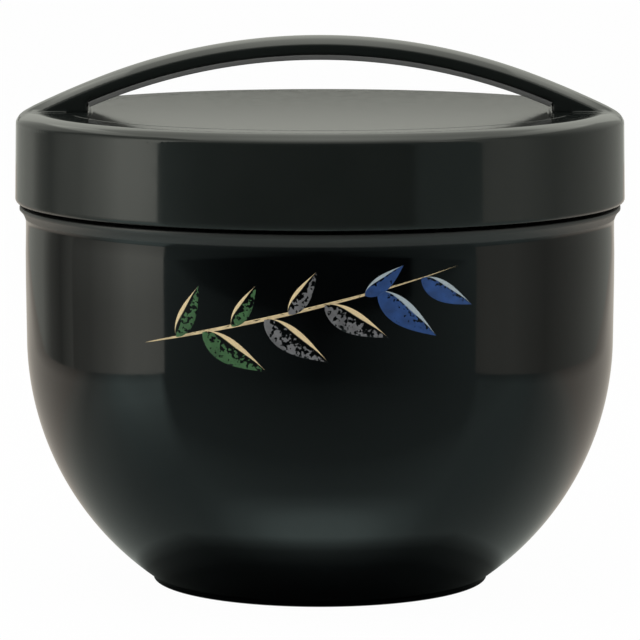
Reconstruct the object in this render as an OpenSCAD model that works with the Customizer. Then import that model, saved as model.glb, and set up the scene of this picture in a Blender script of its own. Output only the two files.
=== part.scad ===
// Carry-along rice bowl: double-walled bowl, topping tray, sealed inner lid and screw-on lid with a handle.
// Millimetres, +Z up. The origin is the middle of the foot, on the table. The handle runs along X.

/* [Bowl] */
// Outer diameter of the bowl below its shoulder
bowl_d = 140; // [126:0.1:158]
// Outer diameter of the foot
foot_d = 80.2; // [72:0.1:90]
// Height of the straight band round the foot
foot_h = 1.1; // [0.6:0.1:3]
// Height of the shoulder's flat top above the table
shoulder_z = 90.2; // [84:0.1:98]
// How far the flared shoulder stands out from the bowl
shoulder_out = 1.5; // [0.9:0.1:2.5]
// Height of the shoulder's upright edge
shoulder_land = 0.9; // [0.5:0.1:1.4]
// Radius of the hollow curve under the shoulder
cove_r = 4.5; // [3:0.1:7]
// Wall of the outer shell
shell_t = 2.2; // [1.8:0.1:2.6]
// Width of the foot's standing ring
foot_w = 2.4; // [1.8:0.1:4]
// Depth of the recess under the foot
foot_recess = 2; // [1:0.1:2.4]
// Thickness of the base cap
base_t = 2; // [1.2:0.1:2.4]
// Width of the ledge that the base cap is welded to
base_ledge_w = 2.4; // [1.5:0.1:4]
// Thickness of that ledge
base_ledge_t = 1.5; // [1:0.1:2]

/* [Liner] */
// Air gap between the outer shell and the liner
air_gap = 1.5; // [1:0.1:2]
// Wall of the liner
liner_t = 2; // [1.6:0.1:2.4]
// Height of the liner's inside floor above the table
floor_z = 10.5; // [10:0.1:16]
// Radius between the liner's inside floor and its wall
floor_r = 25; // [12:0.5:30]
// Thickness of the liner's flange, let into the shoulder
flange_t = 1.5; // [1.2:0.1:1.8]
// Width of that flange outside the neck
flange_w = 3; // [2.7:0.1:3.4]

/* [Topping tray] */
// Depth of the tray, from the top of its rim
tray_depth = 31; // [22:0.5:40]
// Wall of the tray
tray_t = 1.6; // [1.2:0.1:2]
// Thickness of the tray's rim
tray_rim_t = 1.5; // [1.2:0.1:2]
// Slope of the tray's wall, in degrees
tray_draft = 5; // [3:0.5:9]
// Radius of the tray's lower corner
tray_corner_r = 10; // [6:0.5:14]

/* [Inner lid] */
// Thickness of the inner lid's rim and plate
inner_t = 1.5; // [1.2:0.1:2]
// Depth of the plate below the top of the rim
inner_recess = 4; // [3.6:0.1:4.5]
// Thickness of the wall that carries the inner seal
inner_wall_t = 2.4; // [2.2:0.1:3]
// Height of the inner seal
inner_seal_h = 2; // [1.6:0.1:2.2]
// Height of the inner seal above the plate's underside
inner_seal_up = 0.8; // [0.6:0.1:1]
// Depth of the groove that holds the inner seal
inner_seal_in = 1; // [0.8:0.1:1.2]
// How far the inner seal stands out of its groove
inner_seal_out = 0.9; // [0.7:0.1:1]
// Radius of the vent plug's stem
vent_r = 3.5; // [2.5:0.1:5]
// Radius of the vent plug's head
vent_head_r = 7; // [6:0.1:9]
// Thickness of the vent plug's head
vent_head_t = 1.6; // [1.2:0.1:2]
// Free floor between the vent plug's head and the inner lid's wall
vent_edge = 7.3; // [4:0.1:14]

/* [Lid] */
// How far the lid's lower edge stands out from the shoulder
lid_out = 1; // [0.4:0.1:2]
// Height of the lid without its handle
lid_h = 21.45; // [18:0.05:26]
// Gap between the shoulder and the lid's lower edge
lid_gap = 0.85; // [0.5:0.05:1.5]
// How much smaller the lid's radius is at the top of its side
lid_draft = 0.3; // [0:0.05:0.6]
// Wall of the lid's side
lid_t = 2.2; // [1.8:0.1:2.4]
// Radius of the lid's lower edge
lid_edge_r = 1; // [0.4:0.1:1.4]
// Radius of the lid's upper edge
lip_r = 3.3; // [1.5:0.1:4]
// Thickness of the lid's top
top_t = 2.25; // [1.6:0.05:2.6]
// Width of the flat ledge between the lip and the opening that the top panel closes
ledge_w = 8.6; // [7.5:0.1:14]
// Width of the groove round the top panel
seam_w = 0.4; // [0.2:0.1:2]
// Thickness of the panel's flange
panel_flange_t = 1.4; // [1:0.1:2]
// Width of the panel's flange under the lid's top
panel_lap = 5; // [3:0.1:7]
// Thickness of the liner plate under the panel
plate_t = 1.5; // [1.2:0.1:2]
// Wall of the liner's screw ring
ring_t = 1.5; // [1.2:0.1:1.6]
// How far the screw ring ends above the lid's lower edge
ring_up = 1.5; // [0.5:0.1:3]
// Thickness of the lid's seal
seal_t = 1.6; // [1.2:0.1:2]
// Width of the lid's seal
seal_w = 2.8; // [2:0.1:3]
// Thickness of the two ribs that hold the lid's seal
rib_t = 1.1; // [0.8:0.1:1.3]
// Depth of those ribs
rib_h = 1; // [0.8:0.1:1.4]

/* [Handle] */
// Height of the handle's crest above the lid's top
handle_rise = 17.75; // [14:0.25:24]
// How far past the start of the lip's curve the handle's crest comes down to the height of the lid's top
handle_out = 0.3; // [0.1:0.1:0.8]
// Width of the handle, from front to back
handle_w = 11; // [8:0.5:16]
// Thickness of the handle at its crest
handle_t = 5.55; // [4.5:0.05:7]
// How much higher the handle's crest is than its upper edges
handle_crown = 1.65; // [1:0.05:2.5]
// Thickness of the grip strip under the handle
grip_t = 1.15; // [0.8:0.05:1.6]
// Bevel along the grip strip's lower edges
grip_bevel = 0.5; // [0.2:0.05:0.7]
// Radius of the fillet where the handle meets the lid's top
root_r = 0.6; // [0.4:0.1:2.5]
// How far the handle's feet reach in over the top panel
foot_in = 5.6; // [4:0.1:9]
// Room between the handle's feet and the top panel
root_gap = 0.3; // [0.2:0.05:0.6]

/* [Fits] */
// Room under a piece that rests on another
seat_gap = 0.25; // [0.2:0.05:0.35]
// Room round a piece that is pressed or welded in place
weld_gap = 0.1; // [0.05:0.05:0.2]
// Room round the tray in the bowl's mouth
mouth_gap = 0.5; // [0.3:0.05:0.8]
// Room round a seal, plug or rim that has to slide
slide_gap = 0.3; // [0.2:0.05:0.35]

/* [Hidden] */
$fn = 96;
eps = 0.01;

// Bowl
bowl_r = bowl_d / 2;
foot_r = foot_d / 2;
shoulder_r = bowl_r + shoulder_out;
belly_z = foot_h + sqrt(pow(bowl_r, 2) - pow(foot_r, 2));
cove_h = sqrt(pow(cove_r, 2) - pow(cove_r - shoulder_out, 2));
cove_z = shoulder_z - shoulder_land - cove_h;
base_r = foot_r - foot_w;
base_z = foot_recess + base_t;
base_ledge_z = base_z + base_ledge_t;

// Liner
liner_in = shell_t + air_gap;
neck_r = bowl_r - liner_in;
mouth_r = neck_r - liner_t;
flange_r = neck_r + flange_w;
flange_z = shoulder_z - flange_t;

// Lid, from its lower edge up
lid_r = shoulder_r + lid_out;
lid_z = shoulder_z + lid_gap;
top_z = lid_z + lid_h;
lid_upper_r = lid_r - lid_draft;
lid_top_r = lid_upper_r - lip_r;
lid_in_r = lid_r - lid_draft - lid_t;
seam_r = lid_top_r - ledge_w;
panel_r = seam_r - seam_w;
panel_flange_r = seam_r + panel_lap;
panel_z = top_z - top_t;
panel_flange_z = panel_z - panel_flange_t;
plate_z = panel_flange_z - plate_t;
ring_r = lid_in_r - weld_gap;

// Rims under the lid's plate, from the top down
seal_z = plate_z - seat_gap - seal_t;
inner_top_z = seal_z - seat_gap;
inner_rim_z = inner_top_z - inner_t;
tray_top_z = inner_rim_z - seat_gap;
tray_rim_z = tray_top_z - tray_rim_t;
neck_z = tray_rim_z - seat_gap;

// Tray and inner lid
tray_r = mouth_r - mouth_gap;
tray_rim_r = neck_r - slide_gap;
tray_z = tray_top_z - tray_depth;
tray_in_r = tray_r - tray_t / cos(tray_draft);
plate_top_z = inner_top_z - inner_recess;
plate_low_z = plate_top_z - inner_t;
seal_room_r = tray_in_r - (tray_top_z - plate_low_z) * tan(tray_draft);
inner_wall_r = seal_room_r - slide_gap - inner_seal_out;
inner_seal_z = plate_low_z + inner_seal_up;
inner_groove_r = inner_wall_r - inner_seal_in;
inner_rim_r = tray_rim_r - slide_gap;
vent_hole_r = vent_r + slide_gap;
vent_y = inner_wall_r - inner_wall_t - vent_edge - vent_head_r;
seal_r = inner_rim_r - slide_gap;

// Handle: an arch that springs from the lip on both sides
handle_reach = lid_top_r + handle_out;
handle_r = (pow(handle_reach, 2) + pow(handle_rise, 2)) / (2 * handle_rise);
handle_z = top_z + handle_rise - handle_r;
handle_in_r = handle_r - handle_t;
crown_r = (pow(handle_w / 2, 2) + pow(handle_crown, 2)) / (2 * handle_crown);
strip_r = handle_in_r + grip_t;
strip_end = seam_r - foot_in;
root_end = sqrt(pow(lid_top_r - root_r, 2) - pow(handle_w / 2 + root_r, 2));

// Half section of a band from radius r0 to r1 and from height z0 to z1
module band(r0, r1, z0, z1) {
    translate([r0, z0])
        square([r1 - r0, z1 - z0]);
}

// Half section of the bowl's form, a half ball under a straight wall, moved in from the outside by inset
// and cut off at z_low and z_high
module bowl_form(inset, z_low, z_high) {
    intersection() {
        translate([0, belly_z])
            circle(r = bowl_r - inset);
        band(0, bowl_r, z_low, belly_z);
    }
    band(0, bowl_r - inset, belly_z, z_high);
}

// The same form with a round corner above a flat floor at z_low
module floored_form(inset, z_low, z_high, corner_r) {
    corner_z = z_low + corner_r;
    wall_r = bowl_r - inset;
    corner_x = sqrt(pow(wall_r - corner_r, 2) - pow(belly_z - corner_z, 2));
    turn_z = belly_z - (belly_z - corner_z) * wall_r / (wall_r - corner_r);
    bowl_form(inset, turn_z, z_high);
    band(0, corner_x, z_low, turn_z);
    intersection() {
        translate([corner_x, corner_z])
            circle(r = corner_r);
        band(corner_x, wall_r, z_low, turn_z);
    }
}

// Half section of a cup with sloped walls and a round lower corner
module cup_form(r_top, z_top, z_low, slope, corner_r) {
    corner_z = z_low + corner_r;
    corner_x = r_top - (z_top - corner_z) * tan(slope) - corner_r / cos(slope);
    polygon([
        [0, z_low],
        [corner_x, z_low],
        [corner_x + corner_r * cos(slope), corner_z - corner_r * sin(slope)],
        [r_top, z_top],
        [0, z_top]
    ]);
    intersection() {
        translate([corner_x, corner_z])
            circle(r = corner_r);
        band(corner_x, r_top, z_low, corner_z);
    }
}

// Outer shell with the foot ring, the belly and the flared shoulder
module bowl_shell() {
    color([0.05, 0.05, 0.05])
        rotate_extrude()
            difference() {
                union() {
                    band(0, foot_r, 0, foot_h + eps);
                    bowl_form(0, foot_h, shoulder_z);
                    difference() {
                        band(bowl_r - eps, shoulder_r, cove_z, shoulder_z);
                        translate([bowl_r + cove_r, cove_z])
                            circle(r = cove_r);
                    }
                }
                bowl_form(shell_t, base_ledge_z, shoulder_z + eps);
                band(0, flange_r + weld_gap, flange_z, shoulder_z + eps);
                band(0, base_r, -eps, base_z);
                band(0, base_r - base_ledge_w, -eps, base_ledge_z + eps);
            }
}

// Inner bowl with the flange in the shoulder and the neck that the lid screws on
module bowl_liner() {
    color([0.07, 0.07, 0.07])
        rotate_extrude()
            difference() {
                union() {
                    floored_form(liner_in, floor_z - liner_t, neck_z, floor_r + liner_t);
                    band(0, flange_r, flange_z, shoulder_z);
                }
                floored_form(liner_in + liner_t, floor_z, neck_z + eps, floor_r);
            }
}

// Disc that closes the double wall from below
module base_cap() {
    color([0.05, 0.05, 0.05])
        rotate_extrude()
            band(0, base_r - weld_gap, foot_recess, base_z);
}

// Shallow tray that hangs in the mouth by its rim
module topping_tray() {
    color([0.6, 0.08, 0.05])
        rotate_extrude()
            difference() {
                union() {
                    cup_form(tray_r, tray_top_z, tray_z, tray_draft, tray_corner_r);
                    band(0, tray_rim_r, tray_rim_z, tray_top_z);
                }
                cup_form(
                    tray_in_r,
                    tray_top_z,
                    tray_z + tray_t,
                    tray_draft,
                    tray_corner_r - tray_t
                );
                band(0, tray_in_r, tray_top_z - eps, tray_top_z + eps);
            }
}

// Sunk plate that plugs the tray, with a groove for its seal and a vent hole
module inner_lid() {
    color([0.8, 0.82, 0.84, 0.6])
        difference() {
            rotate_extrude()
                difference() {
                    union() {
                        band(0, inner_rim_r, inner_rim_z, inner_top_z);
                        band(0, inner_wall_r, plate_low_z, inner_top_z);
                    }
                    band(0, inner_wall_r - inner_wall_t, plate_top_z, inner_top_z + eps);
                    band(inner_groove_r, inner_wall_r + eps, inner_seal_z, inner_seal_z + inner_seal_h);
                }
            translate([0, vent_y, plate_low_z - eps])
                cylinder(r = vent_hole_r, h = inner_t + 2 * eps);
        }
}

// Soft ring in the inner lid's groove
module inner_seal() {
    color([0.9, 0.9, 0.88])
        rotate_extrude()
            band(inner_groove_r, inner_wall_r + inner_seal_out, inner_seal_z, inner_seal_z + inner_seal_h);
}

// Soft plug that lets air back in before the inner lid is lifted
module vent_plug() {
    color([0.9, 0.9, 0.88])
        translate([0, vent_y, plate_low_z])
            rotate_extrude()
                union() {
                    band(0, vent_r, 0, inner_t + seat_gap + eps);
                    band(0, vent_head_r, inner_t + seat_gap, inner_t + seat_gap + vent_head_t);
                }
}

// Soft ring between the inner lid's rim and the screw-on lid
module lid_seal() {
    color([0.9, 0.9, 0.88])
        rotate_extrude()
            band(seal_r - seal_w, seal_r, seal_z, seal_z + seal_t);
}

// Sweeps a section, radial along X and wide along Y, along the handle's arch
module along_arch() {
    translate([0, 0, handle_z])
        rotate([90, 0, 0])
            rotate_extrude()
                children();
}

// Block across the handle from x0 to x1 and from height z0 up
module cross_block(x0, x1, z0) {
    translate([x0, -handle_w, z0])
        cube([x1 - x0, 2 * handle_w, handle_rise + top_t]);
}

// Arch of the handle, ending inside the lip, kept off the top panel and open below for the grip strip
module handle_arch() {
    difference() {
        intersection() {
            along_arch()
                intersection() {
                    translate([handle_in_r, -handle_w / 2])
                        square([handle_t, handle_w]);
                    translate([handle_r - crown_r, 0])
                        circle(r = crown_r);
                }
            translate([0, 0, panel_z + top_t / 2])
                cylinder(r = lid_top_r + lip_r / 2, h = handle_rise + top_t);
        }
        translate([0, 0, panel_z])
            cylinder(r = seam_r + root_gap, h = top_t + root_gap);
        intersection() {
            along_arch()
                translate([handle_in_r - grip_t, -handle_w])
                    square([2 * grip_t + weld_gap, 2 * handle_w]);
            cross_block(-strip_end, strip_end, top_z);
        }
    }
}

// Foot of the handle, down to the top panel beside the groove
module handle_foot() {
    intersection() {
        along_arch()
            translate([handle_in_r - 3 * grip_t, -handle_w / 2])
                square([4 * grip_t, handle_w]);
        cross_block(strip_end, seam_r + 2 * root_gap, top_z + root_gap);
    }
}

// Soft strip that closes the handle from below, between its two feet
module handle_grip() {
    color([0.2, 0.2, 0.2])
        intersection() {
            along_arch()
                polygon([
                    [handle_in_r, -handle_w / 2 + grip_bevel],
                    [handle_in_r + grip_bevel, -handle_w / 2],
                    [strip_r, -handle_w / 2],
                    [strip_r, handle_w / 2],
                    [handle_in_r + grip_bevel, handle_w / 2],
                    [handle_in_r, handle_w / 2 - grip_bevel]
                ]);
            cross_block(weld_gap - strip_end, strip_end - weld_gap, top_z);
        }
}

// Hollow fillet along one side of the handle's root, from the groove to the lip
module root_fillet() {
    translate([seam_r, 0, 0])
        rotate([90, 0, 90])
            linear_extrude(height = root_end - seam_r)
                difference() {
                    translate([handle_w / 2 - root_r, top_z - root_r])
                        square(2 * root_r);
                    translate([handle_w / 2 + root_r, top_z + root_r])
                        circle(r = root_r);
                }
}

// Side and top of the lid in one moulding with the handle
module lid_shell() {
    color([0.08, 0.08, 0.08]) {
        rotate_extrude() {
            polygon([
                [lid_in_r, lid_z],
                [lid_r - lid_edge_r, lid_z],
                [lid_r, lid_z + lid_edge_r],
                [lid_upper_r, top_z - lip_r],
                [lid_top_r, top_z],
                [seam_r, top_z],
                [seam_r, panel_z],
                [lid_in_r, panel_z]
            ]);
            intersection() {
                translate([lid_top_r, top_z - lip_r])
                    circle(r = lip_r);
                band(lid_top_r, lid_upper_r, top_z - lip_r, top_z);
            }
            intersection() {
                translate([lid_r - lid_edge_r, lid_z + lid_edge_r])
                    circle(r = lid_edge_r);
                band(lid_r - lid_edge_r, lid_r, lid_z, lid_z + lid_edge_r);
            }
        }
        handle_arch();
        for (side = [0, 180])
            rotate(side) {
                handle_foot();
                root_fillet();
                mirror([0, 1, 0])
                    root_fillet();
            }
    }
}

// Disc that closes the lid's top from below, with the groove round it
module lid_panel() {
    color([0.08, 0.08, 0.08])
        rotate_extrude()
            union() {
                band(0, panel_r, panel_z - eps, top_z);
                band(0, panel_flange_r, panel_flange_z, panel_z);
            }
}

// Plate with the screw ring and the two ribs that hold the lid's seal
module lid_liner() {
    color([0.07, 0.07, 0.07])
        rotate_extrude()
            union() {
                band(0, ring_r, plate_z, panel_flange_z);
                band(ring_r - ring_t, ring_r, lid_z + ring_up, plate_z + eps);
                band(seal_r + slide_gap, seal_r + slide_gap + rib_t, plate_z - rib_h, plate_z + eps);
                band(
                    seal_r - seal_w - slide_gap - rib_t,
                    seal_r - seal_w - slide_gap,
                    plate_z - rib_h,
                    plate_z + eps
                );
            }
}

bowl_shell();
bowl_liner();
base_cap();
topping_tray();
inner_lid();
inner_seal();
vent_plug();
lid_seal();
lid_shell();
handle_grip();
lid_panel();
lid_liner();
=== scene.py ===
"""Looks of a carry-along rice bowl: lacquered bowl with leaf print, screw-on lid, tray, inner lid, seals."""

import math

import bmesh
import bpy
import numpy as np
from mathutils import Matrix, Vector


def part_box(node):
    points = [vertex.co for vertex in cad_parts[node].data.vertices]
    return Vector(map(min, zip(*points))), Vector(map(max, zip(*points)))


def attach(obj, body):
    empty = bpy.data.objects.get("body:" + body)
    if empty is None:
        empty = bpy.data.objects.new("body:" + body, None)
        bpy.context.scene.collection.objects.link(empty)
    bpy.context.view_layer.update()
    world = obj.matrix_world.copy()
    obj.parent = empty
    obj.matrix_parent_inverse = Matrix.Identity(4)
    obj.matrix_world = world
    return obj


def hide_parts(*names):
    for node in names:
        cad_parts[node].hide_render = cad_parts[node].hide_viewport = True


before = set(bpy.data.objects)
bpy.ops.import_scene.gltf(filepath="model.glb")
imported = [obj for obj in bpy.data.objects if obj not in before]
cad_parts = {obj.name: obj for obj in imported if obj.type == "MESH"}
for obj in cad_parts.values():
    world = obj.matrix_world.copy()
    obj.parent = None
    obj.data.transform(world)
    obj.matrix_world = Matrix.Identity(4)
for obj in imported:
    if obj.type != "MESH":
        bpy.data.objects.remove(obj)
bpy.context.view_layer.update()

MM = 0.001
BOWL = "bowl"
TRAY = "tray"
INNER_LID = "inner_lid"
VENT = "vent"
LID_SEAL = "lid_seal"
LID = "lid"

# Sizes of the bowl, in mm
BOWL_R = 70.0
BELLY_Z = 58.48
FOOT_R = 40.1
FOOT_H = 1.1
SHOULDER_R = 71.5
SHOULDER_Z = 90.2
SHELL_T = 2.2
LINER_R = 64.3
LINER_T = 2.0
FLOOR_Z = 10.5
FLOOR_CORNER = 25.0
NECK_R = LINER_R + LINER_T
NECK_Z = 101.75
FLANGE_R = 69.4
FLANGE_Z = 88.7
BASE_R = 37.7
BASE_Z = 4.0
BASE_STEP_R = 35.3
BASE_STEP_Z = 5.5
SATIN_Z = 87.1
PRINT_R = 70.1
PRINT_DEPTH = 0.05

# Sizes of the tray and the inner lid, in mm
TRAY_R = 62.19
TRAY_OUT_R = 63.8
TRAY_TOP_Z = 103.5
TRAY_RIM_Z = 102.0
TRAY_FLOOR_Z = 74.1
TRAY_LOW_Z = 72.5
TRAY_DRAFT = math.tan(math.radians(5))
INNER_R = 60.67
INNER_Z = 99.75
VENT_HOLE_R = 3.8

# Sizes of the lid and its handle, in mm
LID_R = 72.5
LID_Z = 91.05
LID_DRAFT = 0.3
LID_T = 2.2
LID_EDGE = 1.0
LIP_W = 5.0
LIP_H = 2.6
LIP_START = 1.5
TOP_Z = 112.5
TOP_T = 2.25
SEAM_R = 60.3
SEAM_W = 0.2
DISC_R = 65.3
DISC_Z = 108.85
PLATE_Z = 107.35
SCREW_R = 68.4
ARCH_R = 143.77
ARCH_Z = -13.55
HANDLE_W = 16.0
HANDLE_T = 5.38
GRIP_T = 1.15
GRIP_GAP = 0.05
CROWN_R = 20.0
FOOT_END = 54.7
FOOT_RISE = 0.4
RISE_FROM = 52.0
RISE_RUN = 16.0
FOOT_SINK = 0.4
ROOT_BLEND = 0.6
LID_CELL = 0.66

# Screw ridges: four starts of 24 mm lead
RIDGE_STARTS = 4
RIDGE_LEAD = 24.0
RIDGE_SWEEP = 66.0
RIDGE_BAR = 0.8


# Node trees


def add(tree, kind, feeds=None, **settings):
    """Adds a node. A feed is a socket to link, or a value to set, under the input's name or number."""
    made = tree.nodes.new(kind)
    for key, value in settings.items():
        setattr(made, key, value)
    for key, feed in (feeds or {}).items():
        if isinstance(feed, bpy.types.NodeSocket):
            tree.links.new(feed, made.inputs[key])
        else:
            made.inputs[key].default_value = feed
    return made


def calc(tree, operation, *values):
    """One step of arithmetic on sockets or numbers."""
    return add(tree, "ShaderNodeMath", dict(enumerate(values)), operation=operation).outputs[0]


def new_tree(name, **inputs):
    """An empty Geometry Nodes tree with named inputs. Returns the tree and its input sockets by name."""
    tree = bpy.data.node_groups.new(name, "GeometryNodeTree")
    tree.interface.new_socket("Geometry", in_out="INPUT", socket_type="NodeSocketGeometry")
    for key, kind in inputs.items():
        tree.interface.new_socket(key, in_out="INPUT", socket_type="NodeSocket" + kind)
    tree.interface.new_socket("Geometry", in_out="OUTPUT", socket_type="NodeSocketGeometry")
    return tree, tree.nodes.new("NodeGroupInput").outputs


def end_tree(tree, geometry, finish):
    """Ends a tree: smooth shading, real geometry and the finish."""
    smooth = add(tree, "GeometryNodeSetShadeSmooth", {0: geometry})
    real = add(tree, "GeometryNodeRealizeInstances", {0: smooth.outputs[0]})
    made = add(tree, "GeometryNodeSetMaterial", {0: real.outputs[0], "Material": finish})
    tree.links.new(made.outputs[0], tree.nodes.new("NodeGroupOutput").inputs[0])


def turned_tree():
    """Turns a half section round Z: the grid has one row for each point of the section."""
    tree, given = new_tree("turned_piece", Around="Int", Finish="Material")
    section = given["Geometry"]
    rows = add(tree, "GeometryNodeAttributeDomainSize", {0: section}).outputs["Point Count"]
    columns = calc(tree, "ADD", given["Around"], 1.0)
    grid = add(tree, "GeometryNodeMeshGrid", {"Vertices X": rows, "Vertices Y": columns})
    index = add(tree, "GeometryNodeInputIndex").outputs[0]
    row = calc(tree, "FLOOR", calc(tree, "DIVIDE", index, columns))
    share = calc(tree, "DIVIDE", calc(tree, "MODULO", index, columns), given["Around"])
    place = add(tree, "GeometryNodeInputPosition").outputs[0]
    point = add(
        tree,
        "GeometryNodeSampleIndex",
        {"Geometry": section, "Value": place, "Index": row},
        data_type="FLOAT_VECTOR",
    )
    angle = calc(tree, "MULTIPLY", share, math.tau)
    turned = add(
        tree,
        "ShaderNodeVectorRotate",
        {"Vector": point.outputs[0], "Angle": angle},
        rotation_type="Z_AXIS",
    )
    moved = add(tree, "GeometryNodeSetPosition", {0: grid.outputs["Mesh"], "Position": turned.outputs[0]})
    closed = add(tree, "GeometryNodeMergeByDistance", {0: moved.outputs[0], "Distance": 1e-6})
    end_tree(tree, closed.outputs[0], given["Finish"])
    return tree


def strip_tree():
    """A flat strip with rounded edges, bent along an arch in the XZ plane."""
    tree, given = new_tree(
        "bent_strip",
        Radius="Float",
        Centre="Float",
        Reach="Float",
        Width="Float",
        Thickness="Float",
        Edge="Float",
        Finish="Material",
    )
    line = add(tree, "GeometryNodeCurvePrimitiveLine").outputs[0]
    path = add(tree, "GeometryNodeResampleCurve", {"Curve": line, "Count": 97}).outputs[0]
    along = add(tree, "GeometryNodeSplineParameter").outputs["Factor"]
    limit = calc(tree, "ARCSINE", calc(tree, "DIVIDE", given["Reach"], given["Radius"]))
    angle = calc(tree, "MULTIPLY", calc(tree, "MULTIPLY_ADD", along, 2.0, -1.0), limit)
    place = add(
        tree,
        "ShaderNodeCombineXYZ",
        {
            "X": calc(tree, "MULTIPLY", given["Radius"], calc(tree, "SINE", angle)),
            "Z": calc(tree, "MULTIPLY_ADD", given["Radius"], calc(tree, "COSINE", angle), given["Centre"]),
        },
    ).outputs[0]
    arch = add(tree, "GeometryNodeSetPosition", {0: path, "Position": place}).outputs[0]
    section = add(
        tree,
        "GeometryNodeCurvePrimitiveQuadrilateral",
        {"Width": given["Width"], "Height": given["Thickness"]},
    ).outputs[0]
    rounded = add(
        tree,
        "GeometryNodeFilletCurve",
        {"Curve": section, "Radius": given["Edge"], "Limit Radius": True, "Count": 6},
        mode="POLY",
    ).outputs[0]
    strip = add(
        tree,
        "GeometryNodeCurveToMesh",
        {"Curve": arch, "Profile Curve": rounded, "Fill Caps": True},
    ).outputs[0]
    end_tree(tree, strip, given["Finish"])
    return tree


def ridge_tree():
    """Screw ridges: a round bar along a helix, thinner at both ends, once for each start."""
    tree, given = new_tree(
        "screw_ridges",
        Radius="Float",
        Low="Float",
        Sweep="Float",
        Lead="Float",
        Bar="Float",
        Starts="Int",
        Finish="Material",
    )
    line = add(tree, "GeometryNodeCurvePrimitiveLine").outputs[0]
    path = add(tree, "GeometryNodeResampleCurve", {"Curve": line, "Count": 40}).outputs[0]
    along = add(tree, "GeometryNodeSplineParameter").outputs["Factor"]
    angle = calc(tree, "MULTIPLY", along, given["Sweep"])
    rise = calc(tree, "MULTIPLY", calc(tree, "DIVIDE", angle, math.tau), given["Lead"])
    place = add(
        tree,
        "ShaderNodeCombineXYZ",
        {
            "X": calc(tree, "MULTIPLY", given["Radius"], calc(tree, "COSINE", angle)),
            "Y": calc(tree, "MULTIPLY", given["Radius"], calc(tree, "SINE", angle)),
            "Z": calc(tree, "ADD", given["Low"], rise),
        },
    )
    helix = add(tree, "GeometryNodeSetPosition", {0: path, "Position": place.outputs[0]}).outputs[0]
    near_end = calc(tree, "MINIMUM", along, calc(tree, "SUBTRACT", 1.0, along))
    taper = calc(tree, "MINIMUM", calc(tree, "MULTIPLY_ADD", near_end, 9.0, 0.25), 1.0)
    tapered = add(tree, "GeometryNodeSetCurveRadius", {0: helix, "Radius": taper}).outputs[0]
    bar = add(tree, "GeometryNodeCurvePrimitiveCircle", {"Resolution": 12, "Radius": given["Bar"]}).outputs[0]
    ridge = add(
        tree,
        "GeometryNodeCurveToMesh",
        {"Curve": tapered, "Profile Curve": bar, "Scale": taper, "Fill Caps": True},
    ).outputs[0]
    spots = add(tree, "GeometryNodeMeshLine", {"Count": given["Starts"], "Offset": (0, 0, 0)}).outputs[0]
    index = add(tree, "GeometryNodeInputIndex").outputs[0]
    step = calc(tree, "DIVIDE", calc(tree, "MULTIPLY", index, math.tau), given["Starts"])
    turn = add(tree, "FunctionNodeAxisAngleToRotation", {"Axis": (0, 0, 1), "Angle": step}).outputs[0]
    copies = add(
        tree,
        "GeometryNodeInstanceOnPoints",
        {"Points": spots, "Instance": ridge, "Rotation": turn},
    ).outputs[0]
    end_tree(tree, copies, given["Finish"])
    return tree


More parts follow.
